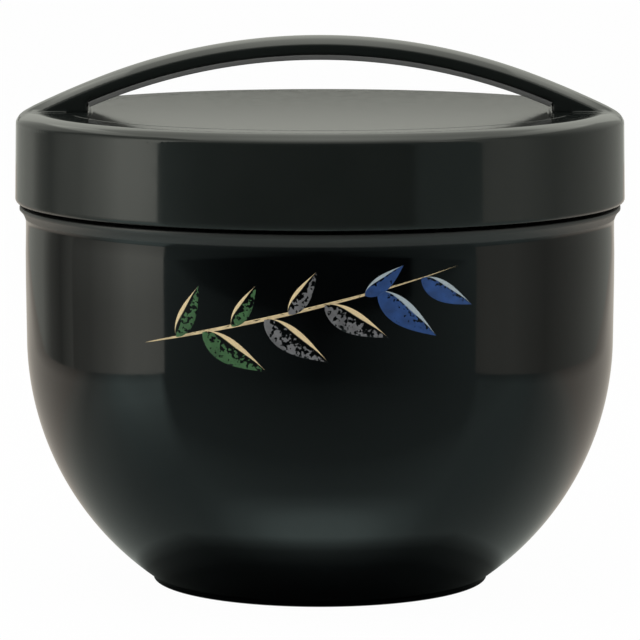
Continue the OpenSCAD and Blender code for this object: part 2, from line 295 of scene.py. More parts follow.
def leaf_tree():
    """Brushed leaves: a flat leaf at each point of a plan, then the plan wrapped round the bowl's wall."""
    tree, given = new_tree(
        "brushed_leaves", Wall="Float", Depth="Float", Slim="Float", Bend="Float", Finish="Material"
    )
    grid = add(
        tree,
        "GeometryNodeMeshGrid",
        {"Size X": 1.0, "Size Y": 2.0, "Vertices X": 33, "Vertices Y": 9},
    )
    place = add(tree, "GeometryNodeInputPosition").outputs[0]
    apart = add(tree, "ShaderNodeSeparateXYZ", {0: place}).outputs
    along = calc(tree, "ADD", apart["X"], 0.5)
    across = apart["Y"]
    stroke = add(tree, "ShaderNodeCombineXYZ", {"X": along, "Y": across}).outputs[0]
    marked = add(
        tree,
        "GeometryNodeStoreNamedAttribute",
        {"Geometry": grid.outputs["Mesh"], "Name": "stroke", "Value": stroke},
        data_type="FLOAT_VECTOR",
    ).outputs[0]
    swell = calc(tree, "SINE", calc(tree, "MULTIPLY", calc(tree, "POWER", along, 0.72), math.pi))
    half = calc(tree, "MULTIPLY", calc(tree, "MULTIPLY", swell, given["Slim"]), 0.5)
    sway = calc(tree, "MULTIPLY", calc(tree, "MULTIPLY", along, along), given["Bend"])
    outline = add(
        tree,
        "ShaderNodeCombineXYZ",
        {"X": along, "Y": calc(tree, "MULTIPLY_ADD", across, half, sway)},
    ).outputs[0]
    flat = add(tree, "GeometryNodeSetPosition", {0: marked, "Position": outline}).outputs[0]
    raised = add(
        tree,
        "GeometryNodeExtrudeMesh",
        {"Mesh": flat, "Offset": (0, 0, 1), "Offset Scale": 1.0, "Individual": False},
    ).outputs[0]
    under = add(tree, "GeometryNodeFlipFaces", {0: flat}).outputs[0]
    both = add(tree, "GeometryNodeJoinGeometry")
    for half_leaf in (raised, under):
        tree.links.new(half_leaf, both.inputs[0])
    leaf = add(tree, "GeometryNodeMergeByDistance", {0: both.outputs[0], "Distance": 1e-4}).outputs[0]
    turn = add(tree, "GeometryNodeInputNamedAttribute", {"Name": "turn"}, data_type="FLOAT").outputs[0]
    size = add(tree, "GeometryNodeInputNamedAttribute", {"Name": "size"}, data_type="FLOAT").outputs[0]
    spin = add(tree, "FunctionNodeAxisAngleToRotation", {"Axis": (0, 0, 1), "Angle": turn}).outputs[0]
    leaves = add(
        tree,
        "GeometryNodeInstanceOnPoints",
        {"Points": given["Geometry"], "Instance": leaf, "Rotation": spin, "Scale": size},
    ).outputs[0]
    plan = add(tree, "GeometryNodeRealizeInstances", {0: leaves}).outputs[0]
    spot = add(tree, "ShaderNodeSeparateXYZ", {0: add(tree, "GeometryNodeInputPosition").outputs[0]}).outputs
    angle = calc(tree, "DIVIDE", spot["X"], given["Wall"])
    on_top = calc(tree, "MULTIPLY_ADD", calc(tree, "GREATER_THAN", spot["Z"], 1e-5), 2.0, -1.0)
    radius = calc(tree, "MULTIPLY_ADD", on_top, given["Depth"], given["Wall"])
    wrapped = add(
        tree,
        "ShaderNodeCombineXYZ",
        {
            "X": calc(tree, "MULTIPLY", radius, calc(tree, "SINE", angle)),
            "Y": calc(tree, "MULTIPLY", calc(tree, "MULTIPLY", radius, calc(tree, "COSINE", angle)), -1.0),
            "Z": spot["Y"],
        },
    ).outputs[0]
    on_wall = add(tree, "GeometryNodeSetPosition", {0: plan, "Position": wrapped}).outputs[0]
    end_tree(tree, on_wall, given["Finish"])
    return tree


# Pieces


def new_piece(name, points, edges=(), faces=()):
    """A mesh object at the origin, from points in metres."""
    mesh = bpy.data.meshes.new(name)
    mesh.from_pydata(points, edges, faces)
    piece = bpy.data.objects.new(name, mesh)
    bpy.context.scene.collection.objects.link(piece)
    return piece


def bake(piece):
    """Makes the piece's modifiers part of its mesh, with the faces pointing outwards."""
    shape = piece.evaluated_get(bpy.context.evaluated_depsgraph_get())
    mesh = bpy.data.meshes.new_from_object(shape)
    piece.modifiers.clear()
    piece.data = mesh
    work = bmesh.new()
    work.from_mesh(mesh)
    bmesh.ops.recalc_face_normals(work, faces=work.faces)
    work.to_mesh(mesh)
    work.free()
    return piece


def grow(piece, tree, **sizes):
    """Runs a tree on the piece and keeps the result as a plain mesh."""
    step = piece.modifiers.new(tree.name, "NODES")
    step.node_group = tree
    for item in tree.interface.items_tree:
        if item.in_out == "INPUT" and item.name in sizes:
            step[item.identifier] = sizes[item.name]
    return bake(piece)


def arc(r, z, radius, start, end, steps):
    """Points along an arc about (r, z), from angle start to end in degrees."""
    angles = np.radians(np.linspace(start, end, steps + 1))
    return [(r + radius * math.cos(a), z + radius * math.sin(a)) for a in angles]


def half_section(corners):
    """Section of a turned piece in mm. A corner is (r, z), or (r, z, rounding) for a rounded one."""
    points = []
    for i, corner in enumerate(corners):
        here = Vector(corner[:2])
        if len(corner) < 3:
            points.append(here)
            continue
        back = (Vector(corners[i - 1][:2]) - here).normalized()
        on = (Vector(corners[(i + 1) % len(corners)][:2]) - here).normalized()
        half = back.angle(on) / 2
        start, end = (here + way * corner[2] / math.tan(half) for way in (back, on))
        middle = here + (back + on).normalized() * corner[2] / math.sin(half)
        steps = max(4, round(corner[2] * 6))
        points.append(start + back * 0.08)
        sweep = (start - middle).angle_signed(end - middle)
        for k in range(steps + 1):
            spoke = start - middle
            spoke.rotate(Matrix.Rotation(-sweep * k / steps, 2))
            points.append(middle + spoke)
        points.append(end + on * 0.08)
    return points


def turned(name, corners, finish, around=192):
    """A turned piece from its half section. A section that doesn't end on the axis is closed into a ring."""
    points = half_section(corners)
    if points[0].x > 0:
        points.append(points[0])
    edges = [(i, i + 1) for i in range(len(points) - 1)]
    piece = new_piece(name, [(p.x * MM, 0, p.y * MM) for p in points], edges)
    return grow(piece, TURNED, Around=around, Finish=finish)


def smooth_max(a, b, width):
    """The larger of two fields, with the edge between them rounded over width."""
    near = np.maximum(width - np.abs(a - b), 0)
    return np.maximum(a, b) + near * near / (4 * width)


def smooth_min(a, b, width):
    """The smaller of two fields, with the corner between them filled over width."""
    return -smooth_max(-a, -b, width)


def lid_field(x, y, z):
    """Distance to the lid's moulding in mm, negative inside: side, lip and ledge with the handle."""
    r = np.hypot(x, y)
    side = r + LID_DRAFT * (z - LID_Z) / (TOP_Z - LIP_H - LID_Z) - LID_R
    out = np.maximum(side / LIP_W + 1, 0)
    over = np.maximum((z - TOP_Z) / LIP_H + 1, 0)
    curve = (np.sqrt(out**LIP_START + over * over) - 1) * LIP_H
    lip = np.where((out > 0) & (over > 0), curve, np.maximum(side, z - TOP_Z))
    puck = smooth_max(lip, LID_Z - z, LID_EDGE)
    hollow = np.maximum(side + LID_T, z - TOP_Z + TOP_T)
    shell = smooth_max(smooth_max(puck, -hollow, 0.6), SEAM_R - r, 0.25)

    # The handle is an arched bar with a crowned top, a little fuller at its feet
    fuller = np.clip((np.abs(x) - RISE_FROM) / RISE_RUN, 0, 1)
    up = np.hypot(x, z - ARCH_Z) - ARCH_R - FOOT_RISE * fuller * fuller
    crown = np.hypot(up + CROWN_R, y) - CROWN_R
    flank = np.abs(y) - HANDLE_W / 2

    # Its underside leaves room for the grip strip, and the feet's inner ends have rounder edges
    under = smooth_min(GRIP_T + GRIP_GAP - HANDLE_T - up, FOOT_END - np.abs(x), 1.0)
    edge = 0.4 + 0.9 * np.clip((np.abs(x) - FOOT_END) / 2 + 1.5, 0, 1)
    grip = smooth_max(smooth_max(crown, flank, 0.6), under, edge)

    # The feet go deep into the lid's ledge, and just below the top of its panel
    over_panel = np.minimum(TOP_Z - FOOT_SINK - z, SEAM_R + 0.3 - r)
    grip = smooth_max(grip, np.maximum(TOP_Z - TOP_T + 0.4 - z, over_panel), 0.9)
    grip = smooth_max(grip, side, 2.4)
    return np.maximum(smooth_min(shell, grip, ROOT_BLEND), side)


def skin(field, low, high, step):
    """Closed mesh on a field's zero surface: one point in each cell that it crosses, drawn onto it."""
    axes = [np.arange(a, b, step) for a, b in zip(low, high)]
    inside = field(*np.meshgrid(*axes, indexing="ij")) < 0
    lo, hi = slice(None, -1), slice(1, None)
    filled = sum(inside[a, b, c].astype(np.int8) for a in (lo, hi) for b in (lo, hi) for c in (lo, hi))
    crossed = (filled > 0) & (filled < 8)
    label = np.full(crossed.shape, -1)
    label[crossed] = np.arange(np.count_nonzero(crossed))
    points = np.stack([axis[i] + step / 2 for axis, i in zip(axes, np.nonzero(crossed))])

    quads = []
    for d, (e, f) in enumerate(((1, 2), (2, 0), (0, 1))):
        start = inside[tuple(lo if k == d else slice(None) for k in range(3))]
        change = start != inside[tuple(hi if k == d else slice(None) for k in range(3))]
        spot = np.argwhere(change)
        ring = []
        for move_e, move_f in ((-1, -1), (0, -1), (0, 0), (-1, 0)):
            cell = spot.copy()
            cell[:, e] += move_e
            cell[:, f] += move_f
            ring.append(label[tuple(cell.T)])
        ring = np.stack(ring, axis=1)
        outside = ~start[change]
        ring[outside] = ring[outside][:, ::-1]
        quads.append(ring)
    quads = np.concatenate(quads)

    def slope(p):
        moves = np.eye(3)[:, :, None] * 0.02
        return np.stack([field(*(p + m)) - field(*(p - m)) for m in moves]) / 0.04

    ends = np.concatenate([quads.ravel(), quads.ravel()])
    others = np.concatenate([np.roll(quads, 1, 1).ravel(), np.roll(quads, -1, 1).ravel()])
    count = np.bincount(ends, minlength=points.shape[1])
    for ease in (0, 0, 0.5, 0.5, 0.5, 0, 0):
        if ease:
            total = np.stack([np.bincount(ends, c[others], points.shape[1]) for c in points])
            points = points + ease * (total / count - points)
        tilt = slope(points)
        points = points - tilt * field(*points) / np.maximum((tilt * tilt).sum(0), 0.05)
    tilt = slope(points)
    return points.T, quads, (tilt / np.linalg.norm(tilt, axis=0)).T


def moulded_lid(finish):
    """Lid side, lip, ledge and handle as one smooth moulding."""
    reach = LID_R + 1.0
    low, high = (-reach, -reach, LID_Z - 1), (reach, reach, ARCH_Z + ARCH_R + 1)
    points, quads, normals = skin(lid_field, low, high, LID_CELL)
    piece = new_piece("lid_moulding", (points * MM).tolist(), (), quads.tolist())
    piece.data.shade_smooth()
    piece.data.normals_split_custom_set_from_vertices(normals.tolist())
    piece.data.materials.append(finish)
    return piece


def ridges(name, radius, low, finish):
    """Screw ridges round the neck or inside the lid."""
    return grow(
        new_piece(name, []),
        RIDGES,
        Radius=radius * MM,
        Low=low * MM,
        Sweep=math.radians(RIDGE_SWEEP),
        Lead=RIDGE_LEAD * MM,
        Bar=RIDGE_BAR * MM,
        Starts=RIDGE_STARTS,
        Finish=finish,
    )


def leaves(name, plan, slim, bend, finish):
    """Printed leaves from a plan of (place along the wall, height, direction in degrees, length), in mm."""
    piece = new_piece(name, [(a * MM, z * MM, 0) for a, z, _, _ in plan])
    for key, values in (
        ("turn", [math.radians(turn) for _, _, turn, _ in plan]),
        ("size", [size * MM for _, _, _, size in plan]),
    ):
        piece.data.attributes.new(key, "FLOAT", "POINT").data.foreach_set("value", values)
    return grow(
        piece,
        LEAVES,
        Wall=PRINT_R * MM,
        Depth=PRINT_DEPTH * MM,
        Slim=slim,
        Bend=bend,
        Finish=finish,
    )


# Finishes


def new_finish(name):
    """An empty material. Returns it with its tree, its shader and its object coordinates."""
    finish = bpy.data.materials.new(name)
    finish.use_nodes = True
    tree = finish.node_tree
    shader = tree.nodes["Principled BSDF"]
    place = add(tree, "ShaderNodeTexCoord").outputs["Object"]
    return finish, tree, shader, place


def noise(tree, place, scale, detail=2.0):
    """Cloudy noise; scale is waves per metre."""
    return add(tree, "ShaderNodeTexNoise", {"Vector": place, "Scale": scale, "Detail": detail}).outputs["Fac"]


def spread(tree, value, low, high, start=0.3, end=0.7):
    """Spreads a noise value over low to high."""
    return add(
        tree,
        "ShaderNodeMapRange",
        {"Value": value, "From Min": start, "From Max": end, "To Min": low, "To Max": high},
    ).outputs[0]


def blend(tree, share, first, second):
    """Mixes two colours."""
    return add(
        tree,
        "ShaderNodeMix",
        {"Factor": share, 6: first, 7: second},
        data_type="RGBA",
    ).outputs[2]


def bump(tree, shader, height, strength, depth):
    """Puts small relief on the shader."""
    relief = add(
        tree,
        "ShaderNodeBump",
        {"Strength": strength, "Distance": depth * MM, "Height": height},
    )
    tree.links.new(relief.outputs[0], shader.inputs["Normal"])


def lacquer(name, dark, light, dull, bright, satin_from=None):
    """Sprayed lacquer: two close tones, uneven sheen, faint orange peel, and satin above a height in mm."""
    finish, tree, shader, place = new_finish(name)
    colour = blend(tree, spread(tree, noise(tree, place, 60.0, 4.0), 0, 1), dark, light)
    sheen = spread(tree, noise(tree, place, 420.0, 3.0), bright, dull)
    if satin_from:
        height = add(tree, "ShaderNodeSeparateXYZ", {0: place}).outputs["Z"]
        satin = spread(tree, height, 0, 1, satin_from * MM, (satin_from + 0.4) * MM)
        colour = blend(tree, satin, colour, (0.026, 0.028, 0.026, 1))
        sheen = calc(tree, "MULTIPLY_ADD", satin, 0.3, sheen)
    tree.links.new(colour, shader.inputs["Base Color"])
    tree.links.new(sheen, shader.inputs["Roughness"])
    bump(tree, shader, noise(tree, place, 650.0, 1.0), 0.015, 0.02)
    return finish


def plastic(name, dark, light, roughness):
    """Moulded plastic with a fine spark-eroded grain."""
    finish, tree, shader, place = new_finish(name)
    clouds = noise(tree, place, 90.0, 3.0)
    tree.links.new(blend(tree, spread(tree, clouds, 0, 1), dark, light), shader.inputs["Base Color"])
    grain = noise(tree, place, 2600.0, 2.0)
    tree.links.new(spread(tree, grain, roughness - 0.05, roughness + 0.07), shader.inputs["Roughness"])
    bump(tree, shader, grain, 0.15, 0.03)
    return finish


def frosted_clear():
    """Clear plastic with a blasted, frosted skin."""
    finish, tree, shader, place = new_finish("frosted_clear")
    frost = noise(tree, place, 1800.0, 3.0)
    clouds = spread(tree, noise(tree, place, 70.0), 0, 1)
    tint = blend(tree, clouds, (0.80, 0.85, 0.86, 1), (0.88, 0.91, 0.91, 1))
    tree.links.new(tint, shader.inputs["Base Color"])
    tree.links.new(spread(tree, frost, 0.26, 0.4), shader.inputs["Roughness"])
    shader.inputs["Transmission Weight"].default_value = 0.85
    shader.inputs["IOR"].default_value = 1.49
    bump(tree, shader, frost, 0.12, 0.03)
    return finish


def silicone():
    """Milky soft silicone with a dusty skin."""
    finish, tree, shader, place = new_finish("seal_silicone")
    clouds = noise(tree, place, 160.0, 3.0)
    tint = blend(tree, spread(tree, clouds, 0, 1), (0.66, 0.66, 0.62, 1), (0.74, 0.74, 0.71, 1))
    tree.links.new(tint, shader.inputs["Base Color"])
    tree.links.new(spread(tree, noise(tree, place, 1500.0), 0.42, 0.6), shader.inputs["Roughness"])
    shader.inputs["Subsurface Weight"].default_value = 0.2
    shader.inputs["Subsurface Radius"].default_value = (0.002, 0.002, 0.0018)
    bump(tree, shader, noise(tree, place, 1500.0), 0.08, 0.03)
    return finish


def sponged(name, ink, line, cover):
    """Sponged colour with bare lacquer between its specks, and a brushed line along one side of each leaf."""
    finish, tree, shader, place = new_finish(name)
    stroke = add(tree, "ShaderNodeAttribute", attribute_name="stroke").outputs["Vector"]
    apart = add(tree, "ShaderNodeSeparateXYZ", {0: stroke}).outputs
    specks = noise(tree, place, 1100.0, 4.0)
    swell = calc(tree, "SINE", calc(tree, "MULTIPLY", apart["X"], math.pi))
    beside = calc(tree, "ADD", apart["Y"], calc(tree, "MULTIPLY_ADD", swell, 0.42, -1.0))
    lined = spread(tree, beside, 0, 1, -0.05, 0.05)
    worn = calc(tree, "MULTIPLY_ADD", apart["X"], 0.12, specks)
    between = spread(tree, beside, 0, 0.2, -0.7, -0.05)
    bare = spread(tree, calc(tree, "ADD", worn, between), 0, 1, cover, cover + 0.03)
    bare = calc(tree, "MULTIPLY", bare, calc(tree, "SUBTRACT", 1.0, lined))
    deep = (*(0.62 * c for c in ink[:3]), 1)
    tone = blend(tree, spread(tree, noise(tree, place, 420.0), 0, 1), ink, deep)
    colour = blend(tree, bare, blend(tree, lined, tone, line), BOWL_BLACK)
    tree.links.new(colour, shader.inputs["Base Color"])
    tree.links.new(spread(tree, bare, 0.42, 0.08, 0, 1), shader.inputs["Roughness"])
    bump(tree, shader, bare, 0.1, 0.02)
    return finish


TURNED = turned_tree()
STRIP = strip_tree()
RIDGES = ridge_tree()
LEAVES = leaf_tree()

BOWL_BLACK = (0.0007, 0.0009, 0.0011, 1)
bowl_lacquer = lacquer(
    "bowl_lacquer", (0.0005, 0.0007, 0.0008, 1), (0.0009, 0.0012, 0.0014, 1), 0.08, 0.05, SATIN_Z
)
lid_lacquer = lacquer("lid_lacquer", (0.0095, 0.0117, 0.0105, 1), (0.0115, 0.0138, 0.0125, 1), 0.11, 0.07)
tray_red = lacquer("tray_red", (0.36, 0.022, 0.012, 1), (0.43, 0.03, 0.016, 1), 0.2, 0.12)
grip_grey = plastic("grip_grey", (0.115, 0.117, 0.112, 1), (0.134, 0.136, 0.13, 1), 0.55)
liner_black = plastic("liner_black", (0.006, 0.006, 0.0065, 1), (0.009, 0.009, 0.0095, 1), 0.3)
clear = frosted_clear()
soft = silicone()
IVORY = (0.74, 0.58, 0.32, 1)
ink_blue = sponged("ink_blue", (0.012, 0.065, 0.24, 1), (0.36, 0.43, 0.46, 1), 0.72)
ink_grey = sponged("ink_grey", (0.17, 0.17, 0.175, 1), IVORY, 0.57)
ink_green = sponged("ink_green", (0.05, 0.15, 0.05, 1), IVORY, 0.59)
ink_line = sponged("ink_line", IVORY, IVORY, 0.75)

# Bowl

belly = math.degrees(math.asin((BELLY_Z - FOOT_H) / BOWL_R))
inner_r = BOWL_R - SHELL_T
inner_belly = math.degrees(math.asin((BELLY_Z - BASE_STEP_Z) / inner_r))
bowl_body = turned(
    "bowl_body",
    [
        (BASE_R, 0, 0.5),
        (FOOT_R, 0, 0.5),
        (FOOT_R, FOOT_H, 0.2),
        *arc(0, BELLY_Z, BOWL_R, -belly, 0, 60)[1:],
        (70.08, 66.0),
        (70.14, 72.0),
        (70.14, 79.0),
        (70.04, 83.5),
        *arc(74.5, 85.95, 4.5, 176, 131.8, 12),
        (SHOULDER_R, SHOULDER_Z, 0.35),
        (FLANGE_R, SHOULDER_Z, 0.2),
        (FLANGE_R, FLANGE_Z),
        (inner_r, FLANGE_Z),
        *arc(0, BELLY_Z, inner_r, 0, -inner_belly, 40),
        (BASE_STEP_R, BASE_STEP_Z),
        (BASE_STEP_R, BASE_Z),
        (BASE_R, BASE_Z),
    ],
    bowl_lacquer,
    256,
)

corner_drop = BELLY_Z - FLOOR_Z - FLOOR_CORNER
corner_x = math.sqrt((LINER_R - FLOOR_CORNER) ** 2 - corner_drop**2)
corner_end = -math.degrees(math.atan2(corner_drop, corner_x))


def liner_wall(thickness):
    """The inner bowl's floor corner and wall, from the floor up to the belly."""
    corner = arc(corner_x, FLOOR_Z + FLOOR_CORNER, FLOOR_CORNER + thickness, -90, corner_end, 24)
    return corner + arc(0, BELLY_Z, LINER_R + thickness, corner_end, 0, 40)[1:]


bowl_inside = turned(
    "bowl_inside",
    [
        (0, FLOOR_Z),
        *liner_wall(0),
        (LINER_R, NECK_Z, 0.5),
        (NECK_R, NECK_Z, 0.5),
        (NECK_R, SHOULDER_Z, 0.4),
        (FLANGE_R - 0.1, SHOULDER_Z, 0.2),
        (FLANGE_R - 0.1, FLANGE_Z),
        (NECK_R, FLANGE_Z),
        *liner_wall(LINER_T)[::-1],
        (0, FLOOR_Z - LINER_T),
    ],
    liner_black,
)
neck_ridges = ridges("neck_ridges", NECK_R - 0.05, 95.2, liner_black)

base_disc = turned(
    "base_disc",
    [
        (0, BASE_Z),
        (BASE_R - 0.1, BASE_Z, 0.2),
        (BASE_R - 0.1, 2.0, 0.3),
        (33.0, 2.0, 0.3),
        (32.6, 2.3, 0.3),
        (0, 2.3),
    ],
    bowl_lacquer,
)

# One spray of leaves on a thin stem, in three sponged colours
GREEN_LEAVES = [(-33.5, 66.2, 58, 13), (-27, 67.6, -36, 17), (-20, 69.2, 52, 11)]
GREY_LEAVES = [(-12.5, 70.9, -40, 17), (-7, 72.2, 50, 11.5), (1, 74.2, -34, 16)]
BLUE_LEAVES = [(10, 76.4, 30, 11), (13, 77.2, -44, 17), (23, 79.9, -34, 14)]
leaf_print = [
    leaves("print_green", GREEN_LEAVES, 0.34, 0.12, ink_green),
    leaves("print_grey", GREY_LEAVES, 0.34, 0.12, ink_grey),
    leaves("print_blue", BLUE_LEAVES, 0.34, 0.12, ink_blue),
    leaves("print_stem", [(-42, 64.4, 12, 76)], 0.011, 0.03, ink_line),
]

# Tray, inner lid and seals

tray = turned(
    "tray",
    [
        (0, TRAY_FLOOR_Z),
        (TRAY_R - (TRAY_TOP_Z - TRAY_FLOOR_Z) * TRAY_DRAFT, TRAY_FLOOR_Z, 8.4),
        (TRAY_R, TRAY_TOP_Z, 0.5),
        (66.0, TRAY_TOP_Z, 0.5),
        (66.0, TRAY_RIM_Z, 0.4),
        (TRAY_OUT_R - (TRAY_TOP_Z - TRAY_RIM_Z) * TRAY_DRAFT, TRAY_RIM_Z, 0.4),
        (TRAY_OUT_R - (TRAY_TOP_Z - TRAY_LOW_Z) * TRAY_DRAFT, TRAY_LOW_Z, 10),
        (0, TRAY_LOW_Z),
    ],
    tray_red,
)

inner_plate = turned(
    "inner_plate",
    [
        (0, 101.25),
        (58.27, 101.25, 0.7),
        (58.27, 105.25, 0.5),
        (65.7, 105.25, 0.5),
        (65.7, 103.75, 0.4),
        (INNER_R, 103.75, 0.3),
        (INNER_R, 102.55, 0.1),
        (INNER_R - 1, 102.55, 0.1),
        (INNER_R - 1, 100.55, 0.1),
        (INNER_R, 100.55, 0.1),
        (INNER_R, INNER_Z, 0.5),
        (0, INNER_Z),
    ],
    clear,
)
vent_low, vent_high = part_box("vent_plug")
vent_y = (vent_low[1] + vent_high[1]) / 2
drill = turned("drill", [(0, 104.0), (VENT_HOLE_R, 104.0), (VENT_HOLE_R, 98.0), (0, 98.0)], clear, 64)
drill.data.transform(Matrix.Translation((0, vent_y, 0)))
cut = inner_plate.modifiers.new("vent_hole", "BOOLEAN")
cut.operation = "DIFFERENCE"
cut.object = drill
bake(inner_plate)
bpy.data.objects.remove(drill)

inner_ring = turned(
    "inner_ring",
    [
        (59.75, 100.62, 0.2),
        (60.9, 100.62, 0.25),
        (61.5, 101.0, 0.2),
        (60.95, 101.4, 0.12),
        (60.95, 101.7, 0.12),
        (61.5, 102.1, 0.2),
        (60.9, 102.48, 0.25),
        (59.75, 102.48, 0.2),
    ],
    soft,
)
vent = turned(
    "vent",
    [
        (0, 102.75),
        (3.4, 102.75, 0.6),
        (4.4, 103.1, 0.5),
        (7.0, 103.1, 0.6),
        (7.0, 101.5, 0.4),
        (3.5, 101.5, 0.2),
        (3.5, INNER_Z, 0.4),
        (0, INNER_Z),
    ],
    soft,
    96,
)
vent.data.transform(Matrix.Translation((0, vent_y, 0)))
lid_ring = turned(
    "lid_ring",
    [
        (62.6, 105.5, 0.6),
        (65.4, 105.5, 0.6),
        (65.4, 107.1, 0.4),
        (64.4, 107.1, 0.2),
        (64.0, 106.8, 0.2),
        (63.6, 107.1, 0.2),
        (62.6, 107.1, 0.4),
    ],
    soft,
)

# Lid

lid_moulding = moulded_lid(lid_lacquer)
grip_strip = grow(
    new_piece("grip_strip", []),
    STRIP,
    Radius=(ARCH_R - HANDLE_T + GRIP_T / 2) * MM,
    Centre=ARCH_Z * MM,
    Reach=(FOOT_END - 0.15) * MM,
    Width=(HANDLE_W - 0.1) * MM,
    Thickness=GRIP_T * MM,
    Edge=0.15 * MM,
    Finish=grip_grey,
)
lid_disc = turned(
    "lid_disc",
    [
        (0, TOP_Z),
        (SEAM_R - SEAM_W, TOP_Z, 0.12),
        (SEAM_R - SEAM_W, TOP_Z - TOP_T, 0.1),
        (DISC_R, TOP_Z - TOP_T),
        (DISC_R, DISC_Z),
        (0, DISC_Z),
    ],
    lid_lacquer,
    256,
)
lid_inside = turned(
    "lid_inside",
    [
        (0, DISC_Z),
        (SCREW_R + 1.5, DISC_Z),
        (SCREW_R + 1.5, 92.55, 0.4),
        (SCREW_R, 92.55, 0.4),
        (SCREW_R, PLATE_Z, 0.4),
        (66.8, PLATE_Z, 0.2),
        (66.8, PLATE_Z - 1, 0.3),
        (65.7, PLATE_Z - 1, 0.3),
        (65.7, PLATE_Z, 0.2),
        (62.3, PLATE_Z, 0.2),
        (62.3, PLATE_Z - 1, 0.3),
        (61.2, PLATE_Z - 1, 0.3),
        (61.2, PLATE_Z, 0.3),
        (0, PLATE_Z),
    ],
    liner_black,
)
lid_ridges = ridges("lid_ridges", SCREW_R, 93.3, liner_black)

for piece, body, node, slot in (
    (bowl_body, BOWL, "bowl_shell", "bowl_lacquer"),
    (bowl_inside, BOWL, "bowl_liner", "liner_black"),
    (neck_ridges, BOWL, None, "liner_black"),
    (base_disc, BOWL, "base_cap", "bowl_lacquer"),
    *((leaf, BOWL, None, "bowl_lacquer") for leaf in leaf_print),
    (tray, TRAY, "topping_tray", "tray_red"),
    (inner_plate, INNER_LID, "inner_lid", "frosted_clear"),
    (inner_ring, INNER_LID, "inner_seal", "seal_silicone"),
    (vent, VENT, "vent_plug", "seal_silicone"),
    (lid_ring, LID_SEAL, "lid_seal", "seal_silicone"),
    (lid_moulding, LID, "lid_shell", "lid_lacquer"),
    (grip_strip, LID, "handle_grip", "grip_grey"),
    (lid_disc, LID, "lid_panel", "lid_lacquer"),
    (lid_inside, LID, "lid_liner", "liner_black"),
    (lid_ridges, LID, None, "liner_black"),
):
    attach(piece, body)
    if node:
        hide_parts(node)

# Studio


def backdrop_share(tree):
    """1 for rays that show the background: straight from the camera, mirrored, or through clear pieces."""
    ray = add(tree, "ShaderNodeLightPath").outputs
    shown = calc(tree, "MAXIMUM", ray["Is Camera Ray"], ray["Is Glossy Ray"])
    return calc(tree, "MAXIMUM", shown, ray["Is Transmission Ray"])


def levels(tree, value, stops):
    """Brightness along a line, from (place, level) stops."""
    first, last = stops[0][0], stops[-1][0]
    peak = max(level for _, level in stops)
    ramp = add(tree, "ShaderNodeValToRGB", {0: spread(tree, value, 0, 1, first, last)})
    marks = ramp.color_ramp.elements
    for i, (place, level) in enumerate(stops):
        mark = marks[i] if i < 2 else marks.new(1)
        mark.position = (place - first) / (last - first)
        mark.color = (level / peak,) * 3 + (1,)
    return calc(tree, "MULTIPLY", ramp.outputs[0], peak)


def card(name, corners, finish):
    """A flat card of the studio, from its corners in metres."""
    made = new_piece(name, corners, (), [tuple(range(len(corners)))])
    made.data.materials.append(finish)
    return made


def floor_finish():
    """Pale floor: white as a background, with a little of the object's shadow."""
    finish, tree, shader, _ = new_finish("floor")
    shader.inputs["Base Color"].default_value = (0.9, 0.9, 0.9, 1)
    shader.inputs["Roughness"].default_value = 0.9
    glow = add(tree, "ShaderNodeEmission", {"Color": (1, 1, 1, 1), "Strength": 1.0})
    share = calc(tree, "MULTIPLY", backdrop_share(tree), 0.98)
    both = add(tree, "ShaderNodeMixShader", {0: share, 1: shader.outputs[0], 2: glow.outputs[0]})
    tree.links.new(both.outputs[0], tree.nodes["Material Output"].inputs["Surface"])
    return finish


def mirrored(name, corners, brightness, near_tint, far_tint=None):
    """A card that only polished surfaces see. Its brightness is worked out from the place on it."""
    finish, tree, _, place = new_finish(name)
    spot = add(tree, "ShaderNodeSeparateXYZ", {0: place}).outputs
    tint = near_tint
    if far_tint:
        tint = blend(tree, spread(tree, spot["Y"], 0, 1, -0.06, 0.06), near_tint, far_tint)
    glow = add(tree, "ShaderNodeEmission", {"Color": tint, "Strength": brightness(tree, spot)})
    tree.links.new(glow.outputs[0], tree.nodes["Material Output"].inputs["Surface"])
    made = card(name, corners, finish)
    made.visible_camera = made.visible_diffuse = made.visible_shadow = made.visible_transmission = False


def wall(name, start, end, tint, axis, along, upward):
    """An upright mirrored card from start to end in plan: brightness along it, times brightness up it."""

    def brightness(tree, spot):
        return calc(tree, "MULTIPLY", levels(tree, spot[axis], along), levels(tree, spot["Z"], upward))

    mirrored(name, [(*start, 0), (*end, 0), (*end, CEILING), (*start, CEILING)], brightness, tint)


def length(tree, x, y):
    """Distance from the origin in plan."""
    flat = add(tree, "ShaderNodeCombineXYZ", {"X": x, "Y": y}).outputs[0]
    return add(tree, "ShaderNodeVectorMath", {0: flat}, operation="LENGTH").outputs["Value"]


